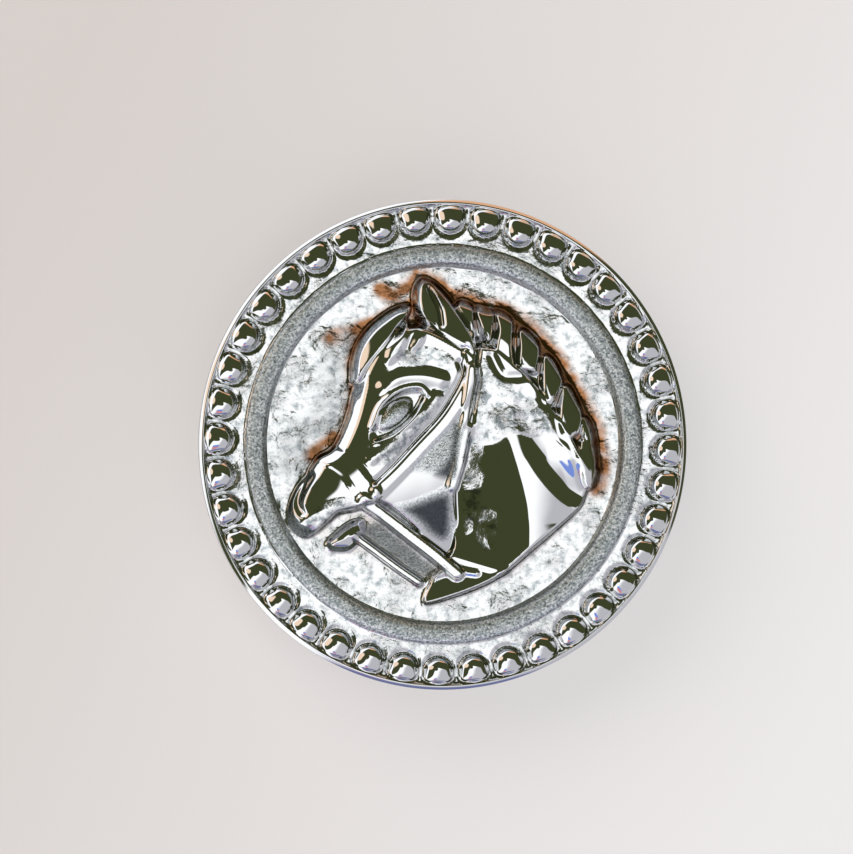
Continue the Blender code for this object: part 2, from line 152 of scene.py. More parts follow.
# %% The light, zone by zone
CEILING = (1.75, 1.75, 1.75, 1)
PALE_WALL = (0.78, 0.76, 0.82, 1)
GREEN_WALL = (0.075, 0.085, 0.035, 1)
WARM_WOOD = (1.2, 0.66, 0.38, 1)
TAN_WALL = (1.45, 1.1, 0.82, 1)
BRIGHT_SILL = (1.7, 1.7, 1.75, 1)
BLUE_SPOT = (0.3, 0.45, 1.1, 1)
ROSE_SPOT = (1.0, 0.38, 0.4, 1)
COOL_SHADE = (0.24, 0.27, 0.52, 1)
DEEP_SHADE = (0.03, 0.035, 0.08, 1)
ZONES = [
    (PALE_WALL, (0.75, -0.66, 0.0), 0.13, 0.5),
    (GREEN_WALL, (0.3, 0.95, 0.0), 0.13, 0.19),
    (GREEN_WALL, (-0.75, 0.66, 0.0), 0.12, 0.18),
    (GREEN_WALL, (0.85, 0.52, 0.0), 0.6, 0.66),
    (GREEN_WALL, (-0.26, -0.06, 0.964), 0.973, 0.984),
    (WARM_WOOD, (0.25, 0.87, -0.42), 0.72, 0.78),
    (BRIGHT_SILL, (-0.43, 0.25, -0.87), 0.03, 0.1),
    (TAN_WALL, (-0.81, 0.25, 0.53), 0.95, 0.97),
    (BLUE_SPOT, (-0.22, -0.76, 0.61), 0.985, 0.992),
    (ROSE_SPOT, (-0.23, -0.86, 0.45), 0.985, 0.992),
    (COOL_SHADE, (0.0, -0.96, -0.28), 0.78, 0.84),
    (DEEP_SHADE, (0.0, -0.92, -0.39), 0.86, 0.9),
]

surroundings = bpy.data.worlds.new("soft_surroundings")
surroundings.use_nodes = True
bpy.context.scene.world = surroundings
sky = surroundings.node_tree
sky.nodes.clear()
direction = put(sky, "ShaderNodeTexCoord").outputs["Generated"]
light = put(sky, "ShaderNodeRGB").outputs[0]
light.default_value = CEILING
for colour, toward, start, full in ZONES:
    amount = put(sky, "ShaderNodeVectorMath", {0: direction, 1: toward}, operation="DOT_PRODUCT")
    share = put(
        sky, "ShaderNodeMapRange", {"Value": amount.outputs["Value"], "From Min": start, "From Max": full},
        interpolation_type="SMOOTHSTEP",
    )
    light = put(sky, "ShaderNodeMix", {0: share.outputs[0], 6: light, 7: colour}, data_type="RGBA").outputs[2]
background = put(sky, "ShaderNodeBackground", {"Color": light})
put(sky, "ShaderNodeOutputWorld", {"Surface": background.outputs[0]})
print(len(ZONES), "zones of light under one ceiling")

# %% A soft lamp that fills the table's shade and isn't mirrored
FILL_SIZE = 0.9
FILL_POWER = 6.0
FILL_PLACE = (-0.55, 0.6, 0.8)
FILL_TILT = (math.radians(-36), math.radians(-30), 0)

fill = bpy.data.lights.new("fill_lamp", "AREA")
fill.shape = "DISK"
fill.size = FILL_SIZE
fill.energy = FILL_POWER
fill_lamp = bpy.data.objects.new("fill_lamp", fill)
fill_lamp.location = FILL_PLACE
fill_lamp.rotation_euler = FILL_TILT
fill_lamp.visible_glossy = False
bpy.context.collection.objects.link(fill_lamp)
print("fill lamp, W:", fill.energy)

# %% [markdown]
# ## The carver's measures
# A relief is cut from a drawing. The drawing here is a set of smooth lines, and the carving asks
# two things of them for each place on the disc: how far away is the line, and is this place inside
# it. From the two come every rounded shoulder, ridge, crease and strap. All of it is worked out for
# whole arrays of places at once.

# %% Lines, distances and insides
CURVE_STEPS = 6
SHORTEST_STRETCH = 1e-6


def smooth_line(points, closed=False):
    """A Catmull-Rom curve: each stretch is a cubic that leaves a point along the line between the
    point's neighbours."""
    points = np.array(points, dtype=float)
    before, after = (points[[-1]], points[:2]) if closed else (points[[0]], points[[-1]])
    padded = np.concatenate([before, points, after])
    a, b, c, d = (padded[start:len(padded) - 3 + start, None] for start in range(4))
    share = (np.arange(CURVE_STEPS) / CURVE_STEPS)[:, None]
    bend = (c - a) * share + (2 * a - 5 * b + 4 * c - d) * share ** 2
    curve = b + 0.5 * (bend + (3 * b - a - 3 * c + d) * share ** 3)
    return np.concatenate([curve.reshape(-1, 2), padded[-2:-1]])


def line_distance(x, y, line, reach):
    """The distance of each place to the line: the least of its distances to the line's stretches,
    and no more than the reach."""
    low, high = line.min(axis=0) - reach, line.max(axis=0) + reach
    near = (x > low[0]) & (x < high[0]) & (y > low[1]) & (y < high[1])
    near_x, near_y = x[near], y[near]
    best = np.full(near_x.shape, float(reach))
    for (ax, ay), (bx, by) in zip(line, line[1:]):
        run, climb = bx - ax, by - ay
        squared = max(run * run + climb * climb, SHORTEST_STRETCH ** 2)
        share = ((near_x - ax) * run + (near_y - ay) * climb) / squared
        share = np.clip(share, 0, 1)
        best = np.minimum(best, np.hypot(near_x - ax - share * run, near_y - ay - share * climb))
    distance = np.full(x.shape, float(reach))
    distance[near] = best
    return distance


def is_inside(x, y, outline):
    """True inside a closed outline: a ray from the place crosses it an odd number of times."""
    odd = np.zeros(x.shape, dtype=bool)
    for (ax, ay), (bx, by) in zip(outline, np.roll(outline, -1, axis=0)):
        if ay != by:
            crosses = (ay > y) != (by > y)
            odd ^= crosses & (x < (bx - ax) * (y - ay) / (by - ay) + ax)
    return odd


print("a line of 3 points is drawn with", len(smooth_line([(0, 0), (1, 1), (2, 0)])))

# %% Shoulders, ridges and straps
STRAP_ROUNDING = 0.42


def rise(distance, width):
    """A rounded shoulder: the sine of a quarter turn, 0 at the edge and 1 from the width inwards."""
    return np.sin(math.pi / 2 * np.clip(distance / width, 0, 1))


def rounded_inside(x, y, points, width):
    """A shoulder that rises from a closed outline inwards, 0 outside it."""
    outline = smooth_line(points, closed=True)
    return rise(line_distance(x, y, outline, width), width) * is_inside(x, y, outline)


def edge_rise(x, y, points, width):
    """A shoulder that rises away from an open edge, on both its sides."""
    return rise(line_distance(x, y, smooth_line(points), width), width)


def bevel(x, y, points, width):
    """A flat slope that climbs away from an open edge, from 0 to 1 at the width."""
    return line_distance(x, y, smooth_line(points), width) / width


def soft_ridge(x, y, points, half_width):
    """A swelling along a line: 1 less the squared share of the half width, squared again."""
    share = line_distance(x, y, smooth_line(points), half_width) / half_width
    return (1 - share ** 2) ** 2


def strap_band(x, y, points, half_width):
    """A flat band with rounded edges along a line: 1 on the band, 0 beside it."""
    inwards = half_width - line_distance(x, y, smooth_line(points), half_width)
    return rise(inwards, STRAP_ROUNDING * half_width)


def lay_on(relief, form, where):
    """Put a form over the relief wherever it stands higher."""
    return np.where(where, np.maximum(relief, form), relief)


print("a shoulder's height halfway in:", round(float(rise(0.5, 1)), 3))

# %% [markdown]
# ## The drawing of the horse
# The head is in profile, with a plaited mane, forelock and full bridle. Its lines are the ones that
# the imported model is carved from, with the brow, the ear's fold, the hollow of the neck and one lock
# drawn afresh. They are in hundredths of the field's radius from the middle. First come the raised
# masses, then the edges that they climb from, then the lines of straps and creases.

# %% Outlines of the masses
HEAD = [(10, 56), (-12, 67), (-27, 65), (-39, 56), (-47, 45), (-51, 33), (-53, 21), (-57, 9), (-63, -2),
        (-71, -7), (-77, -16), (-82, -23), (-86, -32), (-87, -41), (-84, -48), (-78, -52), (-71, -49),
        (-64, -43), (-59, -39), (-49, -37), (-36, -34), (-19, -46), (-6, -58), (6, -59), (8, -50), (7, -29),
        (8, -10), (11, 6), (14, 21), (17, 36), (18, 49)]
NECK = [(7, 52), (26, 56), (41, 46), (53, 34), (64, 19), (75, 2), (83, -17), (80, -32), (73, -40), (63, -49),
        (50, -60), (38, -70), (25, -78), (7, -85), (-11, -89), (-7, -76), (1, -64), (5, -54), (4, -25),
        (4, -3), (7, 21)]
CHIN = [(-67, -56), (-63, -60), (-53, -60), (-47, -55), (-43, -48), (-46, -41), (-53, -41), (-60, -45),
        (-65, -50)]
EAR = [(-12, 94), (-5, 91), (2, 84), (7, 77), (13, 68), (18, 58), (17, 50), (10, 52), (1, 57), (-8, 64),
       (-14, 70), (-17, 78), (-17, 87), (-15, 92)]
EYE_SOCKET = [(-42, 5), (-40, 14), (-35, 24), (-25, 31), (-15, 32), (-10, 28), (-12, 21), (-21, 11), (-31, 2),
              (-39, 0)]
FORELOCKS = [
    [(-19, 78), (-27, 77), (-35, 72), (-43, 65), (-49, 56), (-52, 46), (-52, 35), (-48, 35), (-43, 42),
     (-37, 49), (-31, 56), (-26, 64), (-21, 71)],
    [(-21, 70), (-20, 61), (-23, 52), (-28, 46), (-33, 44), (-35, 49), (-32, 56), (-27, 62)],
    [(-12, 65), (-11, 61), (-13, 55), (-18, 52), (-21, 53), (-19, 59), (-16, 63)],
]
MANE_BED = [(7, 77), (12, 82), (23, 78), (32, 77), (41, 72), (48, 66), (56, 58), (63, 50), (69, 41), (75, 31),
            (81, 20), (86, 10), (88, -1), (90, -13), (87, -25), (76, -17), (64, 6), (51, 27), (38, 39),
            (23, 52), (18, 56)]
MANE_LOCKS = [
    [(7, 77), (9, 81), (13, 82), (16, 78), (17, 70), (18, 56), (13, 65)],
    [(18, 77), (24, 78), (28, 75), (28, 67), (27, 58), (23, 56), (19, 65)],
    [(29, 76), (34, 75), (38, 71), (39, 64), (39, 53), (40, 45), (38, 39), (32, 40), (27, 48), (27, 57),
     (29, 65)],
    [(42, 64), (48, 65), (53, 61), (54, 52), (53, 43), (52, 39), (45, 40), (40, 45), (41, 56)],
    [(56, 50), (61, 50), (65, 45), (67, 35), (64, 27), (61, 21), (56, 23), (53, 31), (54, 42)],
    [(67, 33), (72, 33), (76, 26), (78, 17), (76, 6), (68, 1), (63, 9), (63, 19), (65, 27)],
    [(78, 15), (83, 15), (87, 7), (87, -3), (82, -1), (77, 5)],
    [(76, 3), (83, 1), (87, -4), (86, -13), (90, -15), (84, -25), (79, -23), (75, -12)],
]
print("locks in the mane:", len(MANE_LOCKS), " and in the forelock:", len(FORELOCKS))

# %% Edges, straps and creases
FACE_EDGE = [(-18, 71), (-27, 66), (-39, 57), (-47, 45), (-51, 33), (-53, 21), (-57, 9), (-63, -2), (-71, -7),
             (-77, -16), (-82, -23), (-86, -32), (-87, -41), (-84, -48), (-78, -52)]
FORELOCK_EDGE = [(-19, 78), (-27, 77), (-35, 72), (-43, 65), (-49, 56), (-52, 46), (-52, 35)]
MANE_EDGE = [(-12, 94), (-5, 91), (2, 84), (12, 82), (23, 78), (32, 77), (41, 72), (48, 66), (56, 58),
             (63, 50), (69, 41), (75, 31), (81, 20), (86, 10), (88, -1), (90, -13), (87, -25)]
UPPER_LID = [(-41, 10), (-36, 22), (-26, 30), (-15, 32), (-11, 28)]
LOWER_LID = [(-39, 1), (-30, 5), (-19, 14), (-12, 25)]
BROW = [(-34, 32), (-25, 37), (-13, 38), (-3, 36)]
CHEEKBONE = [(-42, -8), (-33, -2), (-21, 8), (-11, 19), (-5, 27)]
NOSEBAND = [(-68, -5), (-61, -8), (-53, -14), (-48, -21), (-42, -27)]
CHEEK_STRAP = [(14, 52), (15, 42), (10, 29), (0, 14), (-13, 0), (-26, -14), (-38, -26)]
STRAP_CREASE = [(8, 46), (9, 39), (3, 27), (-5, 15), (-19, 0), (-32, -14), (-40, -21)]
THROAT_LATCH = [(15, 42), (13, 24), (11, 6), (8, -10), (4, -23)]
UPPER_REIN = [(-46, -31), (-33, -40), (-19, -51), (-6, -61), (7, -72)]
LOWER_REIN = [(-50, -51), (-39, -59), (-27, -68), (-14, -77)]
NOSTRIL = [(-76, -17), (-80, -25), (-82, -32), (-80, -38)]
MOUTH = [(-68, -54), (-61, -48), (-53, -42), (-48, -40)]
EAR_FOLD = [(-9, 88), (-6, 82), (-3, 75), (-2, 67)]
CROWN_CREASE = [(18, 59), (18, 47), (18, 36), (16, 25), (14, 12)]
MANE_FOOT = [(26, 50), (32, 39), (40, 38), (52, 38), (55, 24), (61, 20), (64, 6), (70, 0), (75, -12),
             (80, -24)]
CREST_HOLLOW = [(41, 18), (50, 3), (62, -12), (72, -22), (83, -29)]
NECK_RIDGE = [(30, 30), (33, 12), (36, 3), (42, -17), (46.6, -37), (47.3, -57), (46, -90)]
COLLAR_STRIP = [(4, -62), (17, -66), (34, -71)]
COLLAR_RIM = [(-10, -88), (7, -83), (23, -77), (37, -70)]
COLLAR_TOP = [(-10, -78), (-5, -73), (7, -71), (18, -72)]
JOWL = [(-18, -30), (-8, -26), (3, -22), (6, -34), (7, -50), (0, -56), (-8, -52), (-20, -42), (-30, -34)]
BETWEEN_REINS = [(-42, -44), (-33, -42), (-19, -54), (-6, -64), (3, -70), (-6, -78), (-14, -75), (-27, -66),
                 (-39, -57), (-47, -50)]
JOWL_HOLLOW = [(-25, -36), (-14, -30), (-2, -26), (4, -28), (5, -45), (2, -54), (-6, -53), (-16, -44)]
STRAP_HOLLOW = [(4, 14), (9, 8), (8, -6), (4, -20), (-4, -20), (-8, -16), (0, -6)]
BEHIND_STRAP = [(6, 16), (11, 10), (9, -4), (6, -20), (-4, -18), (-14, -16), (-22, -14), (-12, -2)]
EYEBALL = [(-39, 9), (-35, 19), (-26, 26), (-18, 26), (-19, 18), (-27, 9), (-34, 6)]
MATT_PATCHES = (JOWL, BETWEEN_REINS, BEHIND_STRAP, EYEBALL)
# The jowl's and the strap's hollows, darkened with painted shade.
SHADED_HOLLOWS = (JOWL_HOLLOW, STRAP_HOLLOW)
PITTED_PATCHES = [
    [(18, 50), (28, 40), (42, 34), (54, 22), (62, 8), (50, 4), (38, 6), (24, 0), (16, 12)],
    [(20, -34), (28, -36), (30, -48), (26, -60), (18, -56), (16, -44)],
    [(-26, 56), (-12, 56), (0, 52), (6, 46), (2, 38), (-10, 42), (-24, 44), (-30, 50)],
    [(10, 4), (20, 4), (22, -20), (17, -46), (10, -46)],
    [(-36, 4), (-20, 12), (-8, 26), (0, 34), (4, 30), (-6, 14), (-20, -2), (-34, -14), (-40, -8)],
    [(-80, -44), (-72, -34), (-60, -29), (-50, -30), (-46, -38), (-60, -42), (-70, -49), (-78, -52)],
]
# Lines along which a painted brown reflection is laid on the ground, by the forelock and left of the face.
BROWN_REFLECTION_LINES = [
    [(-64, 60), (-54, 62), (-44, 66), (-34, 70), (-26, 76)],
    [(-35, 87), (-28, 82), (-22, 88), (-17, 96)],
    [(-62, 4), (-66, 0), (-74, -6)],
]
# The line of a painted shadow: a soft grey band darkened into the ground left of the face.
PAINTED_SHADOW_LINE = [(-50, 58), (-58, 42), (-60, 24), (-66, 8), (-76, 0), (-84, -8)]
EYE_CENTRE = (-29, 17)
EYE_TILT = math.radians(37)
EYE_HALF_LENGTH = 11.8
EYE_HALF_HEIGHT = 6.5
BIT_BOSS = (-40, -28)
BIT_BOSS_RADIUS = 4.6
print("pitted patches:", len(PITTED_PATCHES), " matt patches:", len(MATT_PATCHES), " stains:", len(BROWN_REFLECTION_LINES))

# %% [markdown]
# ## Carving the horse
# The carver works from the large masses to the small: neck, skull, eye, straps, mane, ear and
# forelock. Each step takes the relief so far and gives it back with more on it, as a share of the
# relief's height. What matters in polished metal is the slope and not the height, because the slope
# decides what the metal reflects.

# %% Neck and head
def height_at(carve, x, y):
    """What one step of the carving gives at one place, on flat ground."""
    return round(float(carve(np.array([float(x)]), np.array([float(y)]), np.zeros(1))[0]), 2)


def carve_neck(x, y, relief):
    """The arched neck, with the hollow below the mane and its cut-off base.

    On the lower neck a ridge runs down. Before it the neck falls in a straight slope, and behind it by
    the square of the distance."""
    edge = rounded_inside(x, y, NECK, 4)
    ridge = smooth_line(NECK_RIDGE)
    past_ridge = x - np.interp(-y, -ridge[:, 1], ridge[:, 0])
    lower = np.clip((14 - y) / 16, 0, 1)
    neck = 0.92 - 0.0135 * np.clip(-past_ridge, 0, None) * lower ** 2 * (3 - 2 * lower)
    neck -= 0.0009 * np.clip(past_ridge, 0, 25) ** 2 * np.clip((-8 - y) / 36, 0, 1)
    neck = np.minimum(neck, 1.05 * edge)
    neck -= 0.3 * soft_ridge(x, y, CREST_HOLLOW, 12) * np.clip((x - 38) / 20, 0, 1)
    relief = lay_on(relief, neck, edge > 0)
    relief = relief + 0.1 * soft_ridge(x, y, COLLAR_STRIP, 3.6)
    relief = relief + 0.1 * soft_ridge(x, y, COLLAR_RIM, 2.8)
    return relief + 0.1 * soft_ridge(x, y, COLLAR_TOP, 2.6)


def carve_head(x, y, relief):
    """The skull and muzzle: a quick rise at the face's edge, then a slow one. Below the jowl the cheek
    falls by the square of the distance."""
    edge = rounded_inside(x, y, HEAD, 5)
    face = 0.34 * bevel(x, y, FACE_EDGE, 6.6) + 0.6 * edge_rise(x, y, FACE_EDGE[4:], 25)
    face += 0.25 * edge_rise(x, y, FACE_EDGE[:5], 14) * (1 - edge_rise(x, y, FACE_EDGE[4:], 25))
    below_jowl = np.clip(0.35 * (x + 8) - 0.94 * (y + 5), 0, None)
    face -= 0.0003 * below_jowl ** 2
    relief = lay_on(relief, np.minimum(face, 1.2 * edge), edge > 0)
    relief = lay_on(relief, 0.48 * rounded_inside(x, y, CHIN, 9), edge == 0)
    relief = relief - 0.2 * soft_ridge(x, y, NOSTRIL, 3.4)
    return relief - 0.3 * soft_ridge(x, y, MOUTH, 3)


print("neck on its ridge:", height_at(carve_neck, 36, 3), " cheek:", height_at(carve_head, -20, 0))

# %% Eye and bridle
STRAP_RAISE = 0.13


def carve_eye(x, y, relief):
    """The eye in its socket, between the brow and the cheekbone: half an ellipsoid between two lids."""
    relief = relief - 0.2 * rounded_inside(x, y, EYE_SOCKET, 4)
    across, up = x - EYE_CENTRE[0], y - EYE_CENTRE[1]
    along = (across * math.cos(EYE_TILT) + up * math.sin(EYE_TILT)) / EYE_HALF_LENGTH
    off = (up * math.cos(EYE_TILT) - across * math.sin(EYE_TILT)) / EYE_HALF_HEIGHT
    relief = relief + 0.3 * np.sqrt(np.clip(1 - along ** 2 - off ** 2, 0, 1))
    relief = relief + 0.2 * soft_ridge(x, y, UPPER_LID, 2.6)
    relief = relief + 0.15 * soft_ridge(x, y, LOWER_LID, 2.4)
    relief = relief + 0.13 * soft_ridge(x, y, BROW, 6.5)
    return relief + 0.1 * soft_ridge(x, y, CHEEKBONE, 5)


def carve_bridle(x, y, relief):
    """The noseband, cheek strap, throat latch, the bit's boss and the reins, each a band over its bed."""
    on_head = is_inside(x, y, smooth_line(HEAD, closed=True))
    relief = relief + STRAP_RAISE * strap_band(x, y, NOSEBAND, 6.5) * on_head
    relief = relief - 0.12 * soft_ridge(x, y, STRAP_CREASE, 2.6)
    for line, half_width, bed in (
        (CHEEK_STRAP, 4.8, 0.86),
        (THROAT_LATCH, 3.7, 0.84),
        (UPPER_REIN, 4.2, 0.62),
        (LOWER_REIN, 2.5, 0.25),
    ):
        band = strap_band(x, y, line, half_width)
        relief = np.maximum(relief, bed * band) + STRAP_RAISE * band
    boss = rise(BIT_BOSS_RADIUS - np.hypot(x - BIT_BOSS[0], y - BIT_BOSS[1]), BIT_BOSS_RADIUS)
    return np.maximum(relief, boss)


print("bit's boss:", height_at(carve_bridle, *BIT_BOSS), " eye:", height_at(carve_eye, *EYE_CENTRE))

# %% Mane, ear and forelock
EAR_TIP = (-12, 94)
EAR_LENGTH = 44
TUFT_RAISE = 0.12
HIGHEST_CARVED = 1.2


def carve_mane(x, y, relief):
    """The plaited mane: locks that stand on a lower bed along the crest."""
    bed = rounded_inside(x, y, MANE_BED, 3.8)
    relief = lay_on(relief, np.minimum(0.5 * bevel(x, y, MANE_EDGE, 9), 0.5 * bed), bed > 0)
    crest = 0.36 * bevel(x, y, MANE_EDGE, 5) + 0.52 * edge_rise(x, y, MANE_EDGE, 17)
    for outline in MANE_LOCKS:
        lock = rounded_inside(x, y, outline, 4.4)
        relief = lay_on(relief, np.minimum(crest, 0.45 + 0.55 * lock), lock > 0)
    relief = relief - 0.06 * soft_ridge(x, y, MANE_FOOT, 4)
    return relief - 0.2 * soft_ridge(x, y, CROWN_CREASE, 2)


def carve_ear_and_forelock(x, y, relief):
    """The pricked ear with its fold, and the locks that fall over the forehead.

    The ear climbs along its own length, from its tip down to its root. The short tufts stand a little
    higher than the long lock."""
    rim = rounded_inside(x, y, EAR, 4.5)
    down = np.clip((0.55 * (x - EAR_TIP[0]) - 0.84 * (y - EAR_TIP[1])) / EAR_LENGTH, 0, 1)
    ear = 0.5 * rim + 0.62 * down - 0.2 * soft_ridge(x, y, EAR_FOLD, 2.6)
    relief = lay_on(relief, ear, rim > 0)
    fall = 0.22 + 0.24 * bevel(x, y, FORELOCK_EDGE, 4) + 0.5 * edge_rise(x, y, FORELOCK_EDGE, 16)
    for outline in FORELOCKS:
        lock = rounded_inside(x, y, outline, 5)
        relief = lay_on(relief, np.minimum(fall, 0.35 + 0.8 * lock), lock > 0)
    for tuft in FORELOCKS[1:]:
        relief = relief + TUFT_RAISE * rounded_inside(x, y, tuft, 4)
    return relief


def horse_relief(x, y):
    """The carving's height as a share of the relief's height, for places in hundredths of the field's
    radius."""
    relief = np.zeros(x.shape)
    for carve in (carve_neck, carve_head, carve_eye, carve_bridle, carve_mane, carve_ear_and_forelock):
        relief = carve(x, y, relief)
    return np.clip(relief, 0, HIGHEST_CARVED)


print("whole carving at the ear's root:", height_at(lambda x, y, flat: horse_relief(x, y), 10, 60))

# %% [markdown]
# ## From the drawing to cast metal
# Sand and molten metal soften a carving. Corners lose about a tenth of a millimetre, the foot of every
# wall gets a small fillet, and the ground between them comes out a little wavy. The relief is first
# worked out on a fine square raster, because there a blur is a product in the space of waves: each
# wave is weakened by a bell curve of its own frequency.

# %% Sizes of the casting
low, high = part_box("rosette")
DISC_RADIUS = float(high[0])
DISC_BASE = float(low[2])
RIM_WIDTH = 0.45 * MM
BEAD_OUTER = DISC_RADIUS - RIM_WIDTH
BEAD_LENGTH = 2.6 * MM
BEAD_INNER = BEAD_OUTER - BEAD_LENGTH
BAND_WIDTH = 1.1 * MM
RING_OUTER = BEAD_INNER - BAND_WIDTH
RING_WIDTH = 1.9 * MM
FIELD_RADIUS = RING_OUTER - RING_WIDTH
RIM_HEIGHT = 2.5 * MM
BEAD_FLOOR = 2.02 * MM
BEAD_CREST = 3.1 * MM
BAND_HEIGHT = 2.2 * MM
RING_CREST = 2.9 * MM
FIELD_HEIGHT = 1.4 * MM
RELIEF_HEIGHT = 2.0 * MM
print("field's radius, mm:", round(FIELD_RADIUS / MM, 3), " disc's base, mm:", round(DISC_BASE / MM, 3))

# %% The raster
RASTER_PITCH = 0.05 * MM
RASTER_REACH = 17.0 * MM

places = np.arange(-RASTER_REACH, RASTER_REACH, RASTER_PITCH)
raster_x, raster_y = np.meshgrid(places, places)
percent = 100 / FIELD_RADIUS
share_x, share_y = raster_x * percent, raster_y * percent


def blurred(heights, spread):
    """The heights with each wave weakened by exp(-2 (pi spread frequency)^2)."""
    along = np.fft.fftfreq(heights.shape[0], RASTER_PITCH)[:, None]
    across = np.fft.rfftfreq(heights.shape[1], RASTER_PITCH)[None, :]
    keep = np.exp(-2 * (math.pi * spread) ** 2 * (along ** 2 + across ** 2))
    return np.fft.irfft2(np.fft.rfft2(heights) * keep, s=heights.shape)


def waves(size, seed):
    """Smooth noise of about one unit, whose swells measure this size: blurred random numbers."""
    noise = blurred(np.random.default_rng(seed).normal(size=raster_x.shape), size / 2.5)
    return noise / noise.std()


carved = horse_relief(share_x, share_y)
print("raster:", carved.shape, " highest share:", round(float(carved.max()), 3))

# %% Softened corners, a fillet at the foot and a wavy ground
FIGURE_EDGE = 0.02
CORNER_BLUR = 0.08 * MM
FILLET_BLUR = 0.3 * MM
FILLET_HEIGHT = 0.06 * MM
GROUND_BLUR = 0.15 * MM
GROUND_SWELL = 0.016 * MM
SWELL_SIZE = 1.4 * MM
LOWEST = -0.1 * MM
HIGHEST = 1.19 * RELIEF_HEIGHT

figure = (carved > FIGURE_EDGE).astype(float)
fillet = FILLET_HEIGHT * blurred(figure, FILLET_BLUR)
relief = np.maximum(RELIEF_HEIGHT * carved, fillet)
relief = blurred(relief, CORNER_BLUR)
ground = 1 - blurred(figure, GROUND_BLUR)
relief += GROUND_SWELL * waves(SWELL_SIZE, 3) * (0.25 + 0.75 * ground)
relief = np.clip(relief, LOWEST, HIGHEST)
print("relief, mm:", round(float(relief.min() / MM), 3), "to", round(float(relief.max() / MM), 3))

# %% Painted shade in creases, painted brown reflections and a painted shadow
CREASE_BLUR = 0.14 * MM
CREASE_DEPTH = 0.06 * MM
FOOT_BLUR = 0.6 * MM
DARKEST = 0.6
MANE_BED_REACH = 14
MANE_RIM_WIDTH = 8
BROWN_LINE_WIDTH = 7
PAINTED_SHADOW_WIDTH = 18

# Painted shade: creases are darkened wherever the relief lies below its own blur.
hollow = np.clip((blurred(relief, CREASE_BLUR) - relief) / CREASE_DEPTH - 0.4, 0, 1) * (1 - ground)
at_foot = np.clip(blurred(figure, FOOT_BLUR) * 3 - 0.3, 0, 1) * (1 - figure)
# Painted brown reflection: a halo at the figure's foot, stronger on its upper side, then in the mane's bed,
# along the mane and along the brown lines.
upper_side = np.clip((raster_y / MM + 4) / 8, 0.15, 1)
painted_halo = 0.55 * blurred(at_foot * upper_side, 0.1 * MM) * (1 + 0.3 * waves(0.8 * MM, 5))
painted_brown_reflection = np.clip(painted_halo, 0, DARKEST)
mane_bed = is_inside(share_x, share_y, smooth_line(MANE_BED, closed=True))
for outline in MANE_LOCKS:
    mane_bed &= ~is_inside(share_x, share_y, smooth_line(outline, closed=True))
mane_bed &= line_distance(share_x, share_y, smooth_line(MANE_EDGE), MANE_BED_REACH) < MANE_BED_REACH
painted_brown_reflection = np.maximum(painted_brown_reflection, 0.5 * blurred(mane_bed.astype(float), 0.08 * MM))
mane_rim = soft_ridge(share_x, share_y, MANE_EDGE, MANE_RIM_WIDTH)
painted_brown_reflection = np.maximum(painted_brown_reflection, 0.52 * mane_rim * (1 + 0.25 * waves(0.7 * MM, 11)))
for line in BROWN_REFLECTION_LINES:
    brown_patch = soft_ridge(share_x, share_y, line, BROWN_LINE_WIDTH) * (1 + 0.35 * waves(0.9 * MM, 9))
    painted_brown_reflection = np.maximum(painted_brown_reflection, np.clip(0.6 * brown_patch, 0, DARKEST) * ground)
# A painted shadow along that line, on the ground only.
painted_shadow = soft_ridge(share_x, share_y, PAINTED_SHADOW_LINE, PAINTED_SHADOW_WIDTH) * (1 + 0.3 * waves(0.5 * MM, 13))
# The painted shade of the creases and the painted shadow left of the face, in one raster.
shade_raster = np.clip(np.maximum(0.5 * hollow, 0.34 * painted_shadow * ground), 0, 1)
# The share of the raster that carries painted brown reflection.
print("stained share of the raster:", round(float((painted_brown_reflection > 0.1).mean()), 3))


def from_raster(values, x, y):
    """The raster's value at any place: the mean of its four neighbours, weighted by nearness."""
    column = (x + RASTER_REACH) / RASTER_PITCH
    row = (y + RASTER_REACH) / RASTER_PITCH
    left, below = column.astype(int), row.astype(int)
    right_share, upper_share = column - left, row - below
    lower = values[below, left] * (1 - right_share) + values[below, left + 1] * right_share
    upper = values[below + 1, left] * (1 - right_share) + values[below + 1, left + 1] * right_share
    return lower * (1 - upper_share) + upper * upper_share


# %% [markdown]
# ## The border's mouldings
# From the field outwards come a satin ring, a flat pebbly band, forty tongue-shaped beads and a
# rolled rim. Each bead is broad outside and round inside and stands in a narrow moat. Thin bars stay
# between the moats. All of it is one function of radius and angle.

# %% Height of the border
BEAD_COUNT = 40
BEAD_FILL = 0.87
FIRST_GAP_ANGLE = math.radians(3.0)
BEAD_FALL = 0.36
BEAD_FALL_POWER = 1.6
DOME_POWER = 0.72
SIDE_MOAT = 0.1
END_MOAT = 0.35
RING_SQUARENESS = 5
RING_LINE_DEPTH = 0.1 * MM
RING_LINE_PLACE = 0.52
RING_LINE_WIDTH = 0.11 * MM
ROLL_CREST = 0.2
ROLL_INNER_DROP = 0.12 * MM
ROLL_OUTER_DROP = 0.27 * MM


def bead_measure(radius, angle):
    """How far a place is from its bead's middle: the root of across squared, inwards squared and
    outwards to the fifth, each as a share of the bead's own reach. It is 1 on the bead's outline."""
    pitch = 2 * math.pi / BEAD_COUNT
    across = np.abs(((angle - FIRST_GAP_ANGLE) / pitch) % 1.0 * 2 - 1) / BEAD_FILL
    along = (BEAD_OUTER - BEAD_LENGTH / 2 - radius) / (BEAD_LENGTH / 2)
    return np.sqrt(across ** 2 + np.clip(along, 0, None) ** 2 + np.clip(-along, 0, None) ** 5)


